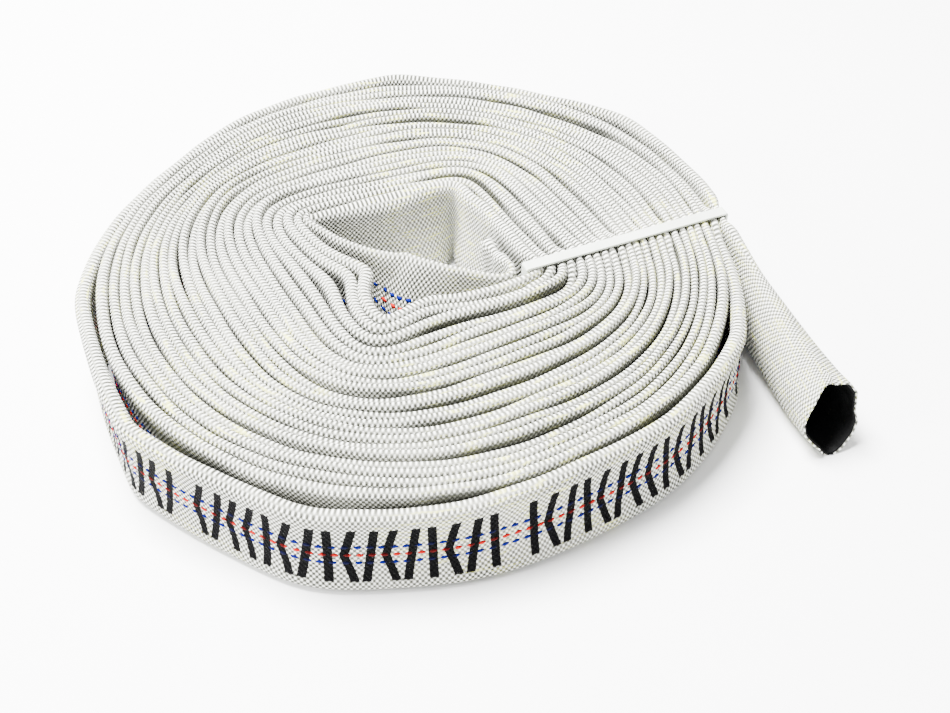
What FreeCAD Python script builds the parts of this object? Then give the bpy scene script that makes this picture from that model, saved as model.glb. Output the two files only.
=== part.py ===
import FreeCAD, Part
import math
import os

# Rolled layflat fire hose: a woven jacket over a rubber lining, wound flat on its edge into
# one roll, with the outer end left free and one cable tie through the core of the roll.
# Millimetres and degrees. The roll's axis is +Z and the floor is z = 0.

SIZES = {
    # Whole roll
    "roll_radius": 213.0,
    "hose_turns": 22.39,
    "seam_angle": 9.0,
    # Hose
    "flat_width": 64.5,
    "band_thickness": 4.0,
    "jacket_wall": 0.9,
    "fold_wall": 2.6,
    "lining_wall": 0.6,
    "lining_gap": 0.1,
    # Rounded four-sided core that the first turns are bent around
    "outer_fraction": 0.985,
    "core_sharpness": 0.07,
    "core_fold_radius": 5.0,
    # Tracer yarns
    "tracer_width": 1.2,
    "tracer_thickness": 0.25,
    "tracer_spacing": 6.4,
    "tracer_gap": 0.1,
    # Free end
    "tail_heading": -69.7,
    "seam_gap": 1.6,
    "mouth_length": 32.0,
    # Cable tie
    "tie_angle": 23.2,
    "tie_inner_x": 70.5,
    "tie_inner_y": -13.3,
    "tie_span": 145.1,
    "strap_width": 7.6,
    "strap_thickness": 1.4,
    "strap_clearance": 0.1,
    "strap_corner": 0.3,
    "groove_depth": 1.7,
    "groove_margin": 0.8,
    "tool_overshoot": 10.0,
    "head_width": 12.0,
    "head_height": 12.0,
    "head_depth": 8.5,
    "head_bottom": 24.0,
    "slot_bottom": 3.0,
    "slot_height": 1.8,
    "stub_length": 3.0,
    "pawl_width": 6.0,
    "pawl_length": 5.0,
    "pawl_thickness": 1.1,
    "pawl_rise": 1.0,
    "pawl_gap": 0.2,
    "tooth_length": 1.2,
    "tooth_tip": 0.12,
    "tooth_pitch": 1.4,
    "first_tooth": 2.2,
    "pocket_wall": 1.4,
    "pocket_height": 5.2,
}

# Sides of the core: direction of the side's normal, and its distance from the axis as a
# fraction of the roll's radius.
CORE_SIDES = ((28.2, 0.304), (110.5, 0.319), (209.3, 0.214), (296.3, 0.217))

# Where the roll is pressed flatter, felt through many turns, and where the outermost turn
# alone stands off the roll: direction, height as a fraction of the radius, half width.
FLATS = ((10.0, -0.020, 16.0), (148.0, -0.028, 20.0), (300.0, -0.030, 18.0))
KINKS = ((47.0, 0.030, 9.0), (96.0, 0.030, 7.0), (218.0, 0.050, 11.0), (256.0, 0.026, 9.0))
KINK_REACH = 1.02
KINK_FADE = 14

# Innermost run of hose: the turn of the fold that starts it, and its points across the core.
FOLD_STEPS = 6
FOLD_TURN = 125.0
STRIP = ((-58.0, 23.0), (-40.0, 11.5), (-18.0, 4.5), (5.0, -1.5), (28.0, -10.0), (58.0, -15.0))

# Degrees from one point of the path to the next, in the innermost and the outermost turn.
INNER_STEP = 3.0
OUTER_STEP = 10.0

# The path is cut into edges of this many points, so that no face is very long.
POINTS_PER_EDGE = 20

# Free end, from flat to round: distance from the seam, half height, half width.
TAIL_SECTIONS = ((0.0, 32.25, 2.0), (45.0, 29.2, 9.6), (88.0, 25.2, 15.6), (125.0, 20.5, 20.5))

# The yarns follow the free end in straight runs that stay just outside its curved side.
TRACER_SECTIONS = ((0.0, 32.25, 2.6), (22.0, 31.0, 6.3), (45.0, 29.2, 10.1),
                   (67.0, 27.3, 13.3), (88.0, 25.2, 16.1), (108.0, 22.6, 18.9),
                   (125.0, 20.5, 20.9), (157.0, 20.5, 20.9))

# Tracer yarns, in steps of the tracer spacing above the hose's middle line.
TRACERS = (("tracer_blue_upper", 1), ("tracer_red", 0), ("tracer_blue_lower", -1))

doc = FreeCAD.newDocument("rolled_fire_hose")


def make_sheet():
    """Put every driving size in a spreadsheet cell with its own alias."""
    table = doc.addObject("Spreadsheet::Sheet", "Sizes")
    for row, (alias, value) in enumerate(SIZES.items(), start=1):
        table.set(f"A{row}", alias)
        table.set(f"B{row}", str(value))
        table.setAlias(f"B{row}", alias)
    doc.recompute()
    return table


sheet = make_sheet()


def size(alias):
    return float(sheet.get(alias))


def bind(item, **expressions):
    """Bind properties to formulas; a double underscore in a name stands for a dot."""
    for name, formula in expressions.items():
        item.setExpression(name.replace("__", "."), formula)


# ---------------------------------------------------------------- path of the wound hose

def bump(angle, centre, half_width):
    offset = (angle - centre + 180.0) % 360.0 - 180.0
    return math.exp(-(offset / half_width) ** 2)


def spiral_radius(turn):
    """Radius of the hose's middle line after so many turns, counted inward from the seam."""
    angle = size("seam_angle") + 360.0 * turn
    outwardness = 1.0 - turn / size("hose_turns")
    roundness = size("core_sharpness")
    roundness += (0.5 - roundness) * math.sin(math.pi * outwardness / 2.0)
    reach = 0.0
    for index, (core_angle, core_distance) in enumerate(CORE_SIDES):
        even_angle = CORE_SIDES[0][0] + 90.0 * index
        side_angle = core_angle + (even_angle - core_angle) * outwardness
        distance = core_distance + (size("outer_fraction") - core_distance) * outwardness
        facing = math.cos(math.radians(angle - side_angle))
        if facing > 0.0:
            reach += (facing / distance) ** (1.0 / roundness)
    fraction = reach ** -roundness
    for centre, height, half_width in FLATS:
        fraction += height * outwardness ** 3 * bump(angle, centre, half_width)
    fade = 1.0 / (1.0 + (turn / KINK_REACH) ** KINK_FADE)
    for centre, height, half_width in KINKS:
        fraction += height * fade * bump(angle, centre, half_width)
    return fraction * size("roll_radius")


def spiral_point(turn):
    angle = math.radians(size("seam_angle") + 360.0 * turn)
    radius = spiral_radius(turn)
    return FreeCAD.Vector(radius * math.cos(angle), radius * math.sin(angle), 0.0)


def spiral_points():
    """Points from the seam to the core, closer together where the bends are tighter."""
    points = []
    turn = 0.0
    while turn < size("hose_turns"):
        points.append(spiral_point(turn))
        outwardness = 1.0 - turn / size("hose_turns")
        turn += (INNER_STEP + (OUTER_STEP - INNER_STEP) * outwardness) / 360.0
    return points


def strip_points(last, heading):
    """The last run of hose: one tight fold, then across the hollow core to its inner end."""
    radius = size("core_fold_radius")
    left = FreeCAD.Vector(-heading.y, heading.x, 0.0)
    centre = last + left * radius
    start_angle = math.atan2(-left.y, -left.x)
    points = []
    for step in range(1, FOLD_STEPS + 1):
        angle = start_angle + math.radians(FOLD_TURN) * step / FOLD_STEPS
        points.append(centre + FreeCAD.Vector(math.cos(angle), math.sin(angle), 0.0) * radius)
    return points + [FreeCAD.Vector(x, y, 0.0) for x, y in STRIP]


def hose_path():
    points = spiral_points()
    heading = (points[-1] - points[-2]).normalize()
    return points + strip_points(points[-1], heading)


PATH = hose_path()


def headings():
    """Unit direction of the path at each of its points."""
    units = []
    for index in range(len(PATH)):
        before = PATH[max(index - 1, 0)]
        after = PATH[min(index + 1, len(PATH) - 1)]
        units.append((after - before).normalize())
    return units


HEADINGS = headings()


def offset_edges(distance):
    """Smooth edges beside the path, each a part of a turn; positive lies on the outer side."""
    shifted = []
    for point, heading in zip(PATH, HEADINGS):
        outward = FreeCAD.Vector(heading.y, -heading.x, 0.0)
        shifted.append(point + outward * distance)
    edges = []
    first = 0
    last = len(shifted) - 1
    while first < last:
        end = first + POINTS_PER_EDGE
        if last - end < POINTS_PER_EDGE / 2:
            end = last
        curve = Part.BSplineCurve()
        curve.interpolate(Points=shifted[first:end + 1], InitialTangent=HEADINGS[first],
                          FinalTangent=HEADINGS[end], Scale=False)
        edges.append(curve.toShape())
        first = end
    return edges


def first_and_last(edges):
    return edges[0].firstVertex().Point, edges[-1].lastVertex().Point


def band_face(inner, outer):
    """Flat face between two offsets of the path, closed by a straight line at each end."""
    inner_edges = offset_edges(inner)
    outer_edges = offset_edges(outer)
    inner_start, inner_end = first_and_last(inner_edges)
    outer_start, outer_end = first_and_last(outer_edges)
    start = Part.makeLine(inner_start, outer_start)
    end = Part.makeLine(outer_end, inner_end)
    return Part.Face(Part.Wire([start] + outer_edges + [end] + inner_edges[::-1]))


def end_rectangle(inner, outer, bottom, top, at_end):
    """Upright rectangle across the band at its first or last point."""
    point, heading = (PATH[-1], HEADINGS[-1]) if at_end else (PATH[0], HEADINGS[0])
    outward = FreeCAD.Vector(heading.y, -heading.x, 0.0)
    corners = []
    for side, height in ((inner, bottom), (outer, bottom), (outer, top), (inner, top)):
        corners.append(point + outward * side + FreeCAD.Vector(0.0, 0.0, height))
    return Part.Face(Part.makePolygon(corners + corners[:1]))


def band_tube(half, wall_thickness, bottom, top, edge_thickness):
    """Flattened tube on its edge along the whole path, open at both ends."""
    void_half = half - wall_thickness
    void_bottom = bottom + edge_thickness
    void_top = top - edge_thickness
    faces = []
    for side, low, high in ((half, bottom, top), (void_half, void_bottom, void_top)):
        floor = band_face(-side, side)
        floor.translate(FreeCAD.Vector(0.0, 0.0, low))
        roof = floor.translated(FreeCAD.Vector(0.0, 0.0, high - low))
        faces += [floor, roof]
        for edge in offset_edges(side) + offset_edges(-side):
            edge.translate(FreeCAD.Vector(0.0, 0.0, low))
            faces.append(edge.extrude(FreeCAD.Vector(0.0, 0.0, high - low)))
    for at_end in (False, True):
        rim = end_rectangle(-half, half, bottom, top, at_end)
        hole = end_rectangle(-void_half, void_half, void_bottom, void_top, at_end)
        faces += rim.cut(hole).Faces
    shell = Part.Shell(faces)
    shell.sewShape()
    solid = Part.Solid(shell)
    solid.fixTolerance(1e-4)
    return solid


# ---------------------------------------------------------------- small building helpers

def wall(name, base, height, bottom):
    """Stand an outline up into a wall of the stated height."""
    item = doc.addObject("Part::Extrusion", name)
    item.Base = base
    item.DirMode = "Custom"
    item.Dir = FreeCAD.Vector(0.0, 0.0, 1.0)
    item.Solid = True
    bind(item, LengthFwd=height, Placement__Base__z=bottom)
    return item


def cut(name, base, tool):
    item = doc.addObject("Part::Cut", name)
    item.Base = base
    item.Tool = tool
    return item


def fuse(name, shapes):
    item = doc.addObject("Part::MultiFuse", name)
    item.Shapes = shapes
    return item


def box(name, length, width, height, x="0", y="0", z="0"):
    item = doc.addObject("Part::Box", name)
    bind(item, Length=length, Width=width, Height=height)
    bind(item, Placement__Base__x=x, Placement__Base__y=y, Placement__Base__z=z)
    return item


# ---------------------------------------------------------------- roll

def tie_placement():
    """Frame of the cable tie: X runs outward over the roll from the core, Z is up."""
    base = FreeCAD.Vector(size("tie_inner_x"), size("tie_inner_y"), 0.0)
    turn = FreeCAD.Rotation(FreeCAD.Vector(0.0, 0.0, 1.0), size("tie_angle"))
    return FreeCAD.Placement(base, turn)


def make_jacket_roll():
    """Woven jacket: a flattened tube on edge, pressed in under the roll by the tie."""
    tube = doc.addObject("Part::Feature", "jacket_tube")
    tube.Shape = band_tube(size("band_thickness") / 2.0, size("jacket_wall"),
                           0.0, size("flat_width"), size("fold_wall"))
    groove = doc.addObject("Part::Box", "tie_groove")
    bind(groove, Length="Sizes.tie_span + 2 * Sizes.tool_overshoot",
         Width="Sizes.strap_width + 2 * Sizes.groove_margin", Height="2 * Sizes.groove_depth")
    corner = FreeCAD.Vector(-size("tool_overshoot"),
                            -size("strap_width") / 2.0 - size("groove_margin"),
                            -size("groove_depth"))
    groove.Placement = tie_placement().multiply(FreeCAD.Placement(corner, FreeCAD.Rotation()))
    return cut("jacket_roll", tube, groove)


def make_lining_roll():
    """Rubber lining: a thinner flattened tube inside the jacket."""
    half = size("band_thickness") / 2.0 - size("jacket_wall") - size("lining_gap")
    edge = size("fold_wall") + size("lining_gap")
    lining = doc.addObject("Part::Feature", "lining_roll")
    lining.Shape = band_tube(half, size("lining_wall"), edge, size("flat_width") - edge,
                             size("lining_wall"))
    return lining


def make_tracers_roll():
    """Coloured yarns that run the length of the hose on its outer face."""
    surface = size("band_thickness") / 2.0 + size("tracer_gap")
    base = doc.addObject("Part::Feature", "tracer_outline")
    base.Shape = band_face(surface, surface + size("tracer_thickness"))
    yarns = []
    for name, step in TRACERS:
        bottom = (f"Sizes.flat_width / 2 + {step} * Sizes.tracer_spacing"
                  " - Sizes.tracer_width / 2")
        yarns.append(wall(f"{name}_roll", base, "Sizes.tracer_width", bottom))
    return yarns


# ---------------------------------------------------------------- free end

def tail_placement():
    """Frame of the free end: local Z runs along it toward the mouth, and local X is up."""
    heading = math.radians(size("tail_heading"))
    forward = FreeCAD.Vector(math.cos(heading), math.sin(heading), 0.0)
    base = spiral_point(0.0) + forward * size("seam_gap")
    upright = FreeCAD.Rotation(FreeCAD.Vector(0.0, 1.0, 0.0), -90.0)
    turned = FreeCAD.Rotation(FreeCAD.Vector(0.0, 0.0, 1.0), size("tail_heading") + 180.0)
    return FreeCAD.Placement(base, turned.multiply(upright))


def tail_solid(name, inset):
    """Solid that goes from flat to round and ends in a straight round length."""
    sections = []
    for number, (distance, half_height, half_width) in enumerate(TAIL_SECTIONS):
        section = doc.addObject("Part::Ellipse", f"{name}_section_{number}")
        bind(section, MajorRadius=f"{half_height} - ({inset})",
             MinorRadius=f"{half_width} - ({inset})")
        section.Placement.Base = FreeCAD.Vector(half_height, 0.0, distance)
        sections.append(section)
    loft = doc.addObject("Part::Loft", f"{name}_loft")
    loft.Sections = sections
    loft.Solid = True
    distance, half_height, _ = TAIL_SECTIONS[-1]
    mouth = doc.addObject("Part::Cylinder", f"{name}_mouth")
    bind(mouth, Radius=f"{half_height} - ({inset})", Height="Sizes.mouth_length")
    mouth.Placement.Base = FreeCAD.Vector(half_height, 0.0, distance)
    return fuse(f"{name}_solid", [loft, mouth])


def make_free_end():
    """Jacket and lining of the hose's free end."""
    jacket_inset = "Sizes.jacket_wall"
    lining_inset = "Sizes.jacket_wall + Sizes.lining_wall"
    jacket = cut("jacket_free_end", tail_solid("tail_outer", "0"),
                 tail_solid("tail_middle", jacket_inset))
    lining = cut("lining_free_end", tail_solid("tail_lining", jacket_inset),
                 tail_solid("tail_bore", lining_inset))
    for item in (jacket, lining):
        item.Placement = tail_placement()
    return [jacket, lining]


def make_tracers_tail():
    """The same yarns along the outer side of the free end, with a diamond for a section."""
    yarns = []
    radius = size("tracer_width") / 4.0
    for name, step in TRACERS:
        offset = step * size("tracer_spacing")
        sections = []
        for number, (distance, half_height, half_width) in enumerate(TRACER_SECTIONS):
            side = half_width * math.sqrt(1.0 - (offset / half_height) ** 2)
            section = doc.addObject("Part::RegularPolygon", f"{name}_section_{number}")
            section.Polygon = 4
            bind(section, Circumradius="Sizes.tracer_width / 4")
            across = -side - radius - size("tracer_gap")
            section.Placement.Base = FreeCAD.Vector(half_height + offset, across, distance)
            sections.append(section)
        loft = doc.addObject("Part::Loft", f"{name}_free_end")
        loft.Sections = sections
        loft.Solid = True
        loft.Ruled = True
        loft.Placement = tail_placement()
        yarns.append(loft)
    return yarns


# ---------------------------------------------------------------- cable tie

def rounded_block(name, grow, width, corner):
    """Block with the loop's cross-section, grown on all sides, and its long corners rounded."""
    block = box(f"{name}_block", f"Sizes.tie_span + 2 * {grow}", width,
                f"Sizes.flat_width - Sizes.groove_depth + 2 * Sizes.strap_clearance + 2 * {grow}",
                f"-{grow}", f"-({width}) / 2",
                f"Sizes.groove_depth - Sizes.strap_clearance - {grow}")
    doc.recompute()
    rounded = doc.addObject("Part::Fillet", name)
    rounded.Base = block
    corners = []
    for number, edge in enumerate(block.Shape.Edges, start=1):
        along = edge.tangentAt(edge.FirstParameter)
        if abs(along.y) > 0.99:
            corners.append((number, corner, corner))
    rounded.Edges = corners
    return rounded


def make_strap():
    """Strap: a closed loop around the roll, open at the head, with its cut end through it."""
    wide = "Sizes.strap_width + 2 * Sizes.tool_overshoot"
    outside = rounded_block("loop_outside", "Sizes.strap_thickness", "Sizes.strap_width",
                            size("strap_corner") + size("strap_thickness"))
    inside = rounded_block("loop_inside", "0", wide, size("strap_corner"))
    opening = box("strap_opening", "3 * Sizes.strap_thickness", wide, "Sizes.strap_thickness",
                  "Sizes.tie_span - Sizes.strap_thickness", f"-({wide}) / 2",
                  "Sizes.head_bottom + Sizes.slot_bottom + Sizes.strap_thickness")
    stub = box("strap_stub", "Sizes.head_depth + Sizes.stub_length + Sizes.strap_thickness",
               "Sizes.strap_width", "Sizes.strap_thickness", "Sizes.tie_span",
               "-Sizes.strap_width / 2", "Sizes.head_bottom + Sizes.slot_bottom")
    loop = cut("strap_loop", outside, inside)
    strap = fuse("tie_strap", [cut("strap_open_loop", loop, opening), stub])
    strap.Placement = tie_placement()
    return strap


def make_head():
    """Head: a block with the strap's slot through it and the pawl's pocket above the slot."""
    left = "Sizes.tie_span + Sizes.strap_thickness"
    block = box("head_block", "Sizes.head_depth", "Sizes.head_width", "Sizes.head_height",
                left, "-Sizes.head_width / 2", "Sizes.head_bottom")
    slot = box("head_slot", "Sizes.head_depth + 2 * Sizes.tool_overshoot",
               "Sizes.strap_width + 2 * Sizes.pawl_gap", "Sizes.slot_height",
               f"{left} - Sizes.tool_overshoot", "-Sizes.strap_width / 2 - Sizes.pawl_gap",
               "Sizes.head_bottom + Sizes.slot_bottom - Sizes.pawl_gap")
    pocket = box("pawl_pocket", "Sizes.head_depth - Sizes.pocket_wall",
                 "Sizes.pawl_width + 3 * Sizes.pawl_gap", "Sizes.pocket_height",
                 f"{left} + Sizes.pocket_wall", "-Sizes.pawl_width / 2 - 1.5 * Sizes.pawl_gap",
                 "Sizes.head_bottom + Sizes.slot_bottom")
    head = cut("tie_head", cut("head_with_slot", block, slot), pocket)
    head.Placement = tie_placement()
    return head


def pawl_root():
    """Point, in the tie's frame, about which the pawl bends."""
    x = size("tie_span") + size("strap_thickness") + size("pocket_wall") + size("pawl_gap")
    z = size("head_bottom") + size("slot_bottom") + size("strap_thickness")
    return FreeCAD.Vector(x, 0.0, z + size("pawl_gap") + size("pawl_rise"))


def make_pawl():
    """Pawl: a sprung tongue with two teeth that bear on the strap."""
    tongue = box("pawl_tongue", "Sizes.pawl_length", "Sizes.pawl_width", "Sizes.pawl_thickness",
                 "0", "-Sizes.pawl_width / 2", "0")
    pieces = [tongue]
    point_down = FreeCAD.Rotation(FreeCAD.Vector(1.0, 0.0, 0.0), -90.0)
    for number in range(2):
        tooth = doc.addObject("Part::Wedge", f"pawl_tooth_{number}")
        bind(tooth, Xmin="0", Xmax="Sizes.tooth_length",
             X2min="Sizes.tooth_length - Sizes.tooth_tip", X2max="Sizes.tooth_length",
             Ymin="0", Ymax="Sizes.pawl_rise", Zmin="0", Zmax="Sizes.pawl_width",
             Z2min="0", Z2max="Sizes.pawl_width")
        along = size("first_tooth") + size("tooth_pitch") * number
        base = FreeCAD.Vector(along, -size("pawl_width") / 2.0, 0.0)
        tooth.Placement = FreeCAD.Placement(base, point_down)
        pieces.append(tooth)
    pawl = fuse("tie_pawl", pieces)
    root = FreeCAD.Placement(pawl_root(), FreeCAD.Rotation())
    pawl.Placement = tie_placement().multiply(root)
    return pawl


# ---------------------------------------------------------------- build, check and write

def check(nodes):
    for item in doc.Objects:
        if "Invalid" in item.State or "Error" in item.State:
            raise RuntimeError(f"{item.Name} failed: {item.State}")
    for node in nodes:
        if node.Shape.isNull() or not node.Shape.isValid():
            raise RuntimeError(f"{node.Label} has a bad shape")


def main():
    nodes = [make_jacket_roll(), make_lining_roll()]
    nodes += make_tracers_roll()
    nodes += make_free_end()
    nodes += make_tracers_tail()
    nodes += [make_strap(), make_head(), make_pawl()]
    doc.recompute()
    check(nodes)
    os.makedirs("parts", exist_ok=True)
    for node in nodes:
        node.Label = node.Name
        node.Shape.exportStep(f"parts/{node.Label}.step")
        print(node.Label, len(node.Shape.Solids), round(node.Shape.Volume), node.Shape.BoundBox)
    length = sum((after - before).Length for before, after in zip(PATH, PATH[1:]))
    print("wound length", round(length))
    print("free end starts at", tail_placement().Base)
    print("pawl bends at", tie_placement().multVec(pawl_root()))


main()
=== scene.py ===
import math

import bpy
import numpy as np
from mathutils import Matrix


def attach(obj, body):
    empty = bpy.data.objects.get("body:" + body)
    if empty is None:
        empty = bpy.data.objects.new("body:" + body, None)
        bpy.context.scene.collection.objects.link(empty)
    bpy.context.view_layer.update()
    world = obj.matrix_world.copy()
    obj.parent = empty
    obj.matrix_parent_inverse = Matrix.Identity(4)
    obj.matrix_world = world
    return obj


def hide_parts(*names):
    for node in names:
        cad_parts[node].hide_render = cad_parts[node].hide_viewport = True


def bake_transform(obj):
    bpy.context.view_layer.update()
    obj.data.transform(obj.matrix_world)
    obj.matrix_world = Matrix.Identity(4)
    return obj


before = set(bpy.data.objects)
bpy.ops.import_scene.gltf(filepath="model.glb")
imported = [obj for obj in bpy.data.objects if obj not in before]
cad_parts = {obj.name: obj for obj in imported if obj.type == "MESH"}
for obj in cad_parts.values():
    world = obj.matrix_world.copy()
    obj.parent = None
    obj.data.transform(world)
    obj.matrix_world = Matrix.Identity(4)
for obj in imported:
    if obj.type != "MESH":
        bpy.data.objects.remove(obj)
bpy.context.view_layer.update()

# Rolled layflat fire hose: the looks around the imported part, in metres and in its frame.
# The hose is one flattened tube that follows one smooth line: from its open mouth along the
# free end to the seam, then inward turn by turn, and last across the hollow core.

# ---------------------------------------------------------------- driving dimensions

ROLL_RADIUS = 0.213
HOSE_TURNS = 22.39
SEAM_ANGLE = 9.0
FLAT_WIDTH = 0.0645
MIDDLE_HEIGHT = FLAT_WIDTH / 2.0

# The wound line: radii are shares of the roll's radius, angles are in degrees. The core has
# four sides (angle, distance), and the outer turns have pressed stretches (angle, height, half
# width), all as in the CAD source.
OUTER_FRACTION = 0.985
CORE_SHARPNESS = 0.07
CORE_SIDES = ((28.2, 0.304), (110.5, 0.319), (209.3, 0.214), (296.3, 0.217))
FLATS = ((10.0, -0.020, 16.0), (148.0, -0.028, 20.0), (300.0, -0.030, 18.0))

# Where the outermost turn stands off the roll (angle, height, half width), softly or in a sharp
# kink, then how many turns inward that lasts and how abruptly it ends.
KINKS = ((47.0, 0.030, 9.0), (188.0, 0.019, 8.0), (256.0, 0.026, 9.0))
SHARP_KINKS = ((97.5, 0.046, 9.0), (223.0, 0.056, 13.0), (341.0, 0.042, 13.0))
KINK_REACH = 1.02
KINK_FADE = 14

# Where the innermost turns hang loose and bulge into the hollow core: angle, height and half
# width of the bulge, and the turns between which it grows.
LOOSE_STRETCHES = ((200.0, -0.082, 26.0, 17.9, 21.6), (64.0, -0.020, 9.0, 21.4, 22.1),
                   (279.0, -0.055, 29.0, 16.8, 21.9))

# Degrees between control points: on the kinked outermost turn, on the last turn of the core,
# and how much further apart they are on the outer turns than on that last one.
KINKED_STEP = 3.5
CORE_STEP = 3.0
STEP_GROWTH = 7.0

# Free end, from its mouth to the seam, and the run across the core.
FREE_ROUTE = (
    (0.2580, -0.1165, 0.0235), (0.2524, -0.1018, 0.0236), (0.2427, -0.0762, 0.0248),
    (0.2312, -0.0447, 0.0262), (0.2199, -0.0138, 0.0296), (0.2102, 0.0127, 0.0315),
)
CORE_ROUTE = (
    (-0.0752, 0.0452), (-0.0758, 0.0386), (-0.0650, 0.0305), (-0.0500, 0.0168),
    (-0.0290, 0.0068), (-0.0065, 0.0018), (0.0165, -0.0060), (0.0400, -0.0130),
    (0.0545, -0.0160), (0.0622, -0.0122), (0.0605, -0.0035), (0.0555, 0.0060),
    (0.0500, 0.0165), (0.0452, 0.0265),
)

# Free end: distance from the seam, half height and half width. Its section turns from two
# folds to an oval by ROUND_AFTER. No wall is nearer the middle than LEAST_HALF_WIDTH.
FREE_SECTIONS = ((0.0, 0.03225, 0.0030), (0.0466, 0.0298, 0.0096), (0.0896, 0.0262, 0.0146),
                 (0.1266, 0.0243, 0.0190), (0.2, 0.0243, 0.0194))
ROUND_AFTER = 0.06
LEAST_HALF_WIDTH = 0.0004

# Cable tie: the inner end of its straight run, that run's direction and length, how far past
# its ends it still presses, and how far beside it the hose is wholly and partly pressed.
TIE_START = np.array((0.0705, -0.0133))
TIE_ANGLE = 23.2
TIE_SPAN = 0.1451
TIE_MARGIN = 0.006
TIE_PRESSES = (0.0050, 0.0200)

# Flattened hose: half its thickness at a folded edge, how much an edge with nothing beside it
# swells and over which gaps, half the thickness across the core, the share of the gap to a
# neighbour that one side may fill, and the radius of a fold.
FOLD_HALF = 0.0036
FOLD_SWELL = 0.0018
SWELL_GAPS = (0.008, 0.015)
STRIP_HALF = 0.0027
FILL_SHARE = 0.482
FOLD_RADIUS = 0.0042

# Half thickness between the folds, and how far past a fold it is reached. This waist and the
# radius of the folds grow with the swelling, by these shares of it.
WAIST_HALF = 0.0025
WAIST_FADE = 0.012
WAIST_SHARE = 0.55
RADIUS_SHARE = 0.9

# Turns between which the winding is tight, so that no edge swells.
TIGHT_TURNS = (2.0, 16.8)

# Where each edge lies, without the unevenness: away from the tie, and pressed under it.
TOP_EDGE, TOP_PRESSED = FLAT_WIDTH - 0.0024, FLAT_WIDTH - 0.0007
BOTTOM_EDGE, BOTTOM_PRESSED = 0.0009, 0.0020

# Under the tie, a side with no neighbour nearer than LONE_GAP is no thicker than LONE_HALF.
LONE_HALF = 0.0019
LONE_GAP = 0.012

# Least height over the floor.
FLOOR_GAP = 0.0003

# Unevenness along the hose, as waves (length, height), and its random seeds.
TOP_WAVES, TOP_SEED = ((0.93, 0.0009), (0.37, 0.0011), (0.149, 0.0007), (0.047, 0.00025)), 3
BOTTOM_WAVES, BOTTOM_SEED = ((0.61, 0.0003), (0.173, 0.0003)), 5
LEAN_WAVES, LEAN_SEED = ((0.71, 0.00030), (0.213, 0.00035), (0.067, 0.00020)), 9

# Unevenness from turn to turn, as waves (turns in half a period, height, phase).
TURN_WAVES = ((1.0, 0.0012, 0.5), (1.5, 0.0009, 1.1))

# The weave: pitch of the knuckles along the hose and of the rows across it.
KNUCKLE_PITCH = 0.0031
ROW_PITCH = 0.0021

# Stitches of tracer yarn: pitch along the hose, spacing of the three rows, size, how far the
# rows keep from the hose's ends, how far the middle row is shifted, and their irregularity.
STITCH_PITCH = 0.0066
STITCH_SPACING = 0.0066
STITCH_LENGTH = 0.0048
STITCH_WIDTH = 0.0030
STITCH_LIFT = 0.00055
STITCH_MARGIN = 0.006
STITCH_STAGGER = 0.0012
STITCH_SEED = 20
STITCH_SCATTER = 0.00025
STITCH_SLANT = (0.00018, 0.00008)

# Swelling of a stitch at shares of its length from its middle; its sides and its underside, as
# shares of its lift.
STITCH_PROFILE = ((-0.28, 0.72), (0.0, 1.0), (0.28, 0.72))
STITCH_EDGE = 0.05
STITCH_ROOT = -0.5

# Mouth: height of its middle, how far its top is cut back from its bottom, over which lengths
# the cut and the waves of the rim fade out, and those waves (number round, height, phase).
MOUTH_HEIGHT = 0.0235
MOUTH_SLOPE = 0.018
CUT_FADE = 0.090
RIM_FADE = 0.032
RIM_LOBES = ((5.0, 0.070, 0.6), (3.0, 0.035, -1.1), (9.0, 0.014, 2.0))
RIM_SHRINK = 0.02
RIM_WAVES = ((4.0, 0.0009, 0.0), (7.0, 0.0005, 1.0))

# Run across the core: how far its foot stands out, the distances from its start at which that
# begins, is full and ends, and the diagonal crease in it.
STRIP_SLANT = 0.034
STRIP_SLANTED = (0.055, 0.091, 0.140)
CREASE_PLACE = 0.088
CREASE_RUN = 0.040
CREASE_WIDTH = 0.0035
CREASE_DEPTH = 0.0022

# Last stretch of the wound part: its foot leans into the core, less at the core's back corner,
# and its inner side swells. Places are in turns inward from the seam.
WALL_SLANT, WALL_SLANTED = 0.021, (22.0, 22.385)
CORNER_TURN, CORNER_REACH, CORNER_HOLD = 22.17, 0.035, 0.75
WALL_SWELL, WALL_SWOLLEN = 0.0045, (22.19, 22.385)

# Front of the outermost turn, also in turns: its foot stands out, and its top edge dips.
FRONT_FLARE, FRONT_FLARED = 0.0075, (0.56, 0.68, 0.84, 0.96)
FRONT_DIP, FRONT_DIPPED = 0.0034, (0.55, 0.82)

# How many of the last turns face the hollow core.
WALL_TURNS = 1.02

# Crumpled inner end: distances from the tip, thickness, drop of the top edge, and its ridges.
CRUMPLED = (-0.040, -0.012)
CRUMPLE_SWELL, CRUMPLE_RIDGE = 0.0016, 0.0015
CRUMPLE_DROP, CRUMPLE_DIP = 0.0055, 0.0010
RIDGE_PITCH = 0.0068

# Stations along the hose: the angle in radians that it may turn between two of them, their
# smallest and largest spacing, and the length from the mouth that holds the seam.
STATION_TURNING = 0.3
STATION_SPACING = (0.0016, 0.005)
NEAR_MOUTH = 0.4

# Search for the neighbouring run: the farthest that matters, the length of hose that counts as
# the same run, and how many places are worked out at once.
FAR_ENOUGH = 0.05
SAME_RUN = 0.02
BLOCK = 200
TINY = 1e-12

WEAVE_MAP = "weave"
TAU = 2.0 * math.pi


# ---------------------------------------------------------------- line of the hose

def angle_between(angle, centre):
    return (angle - centre + 180.0) % 360.0 - 180.0


def bump(angle, centre, half_width):
    return math.exp(-(angle_between(angle, centre) / half_width) ** 2)


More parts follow.
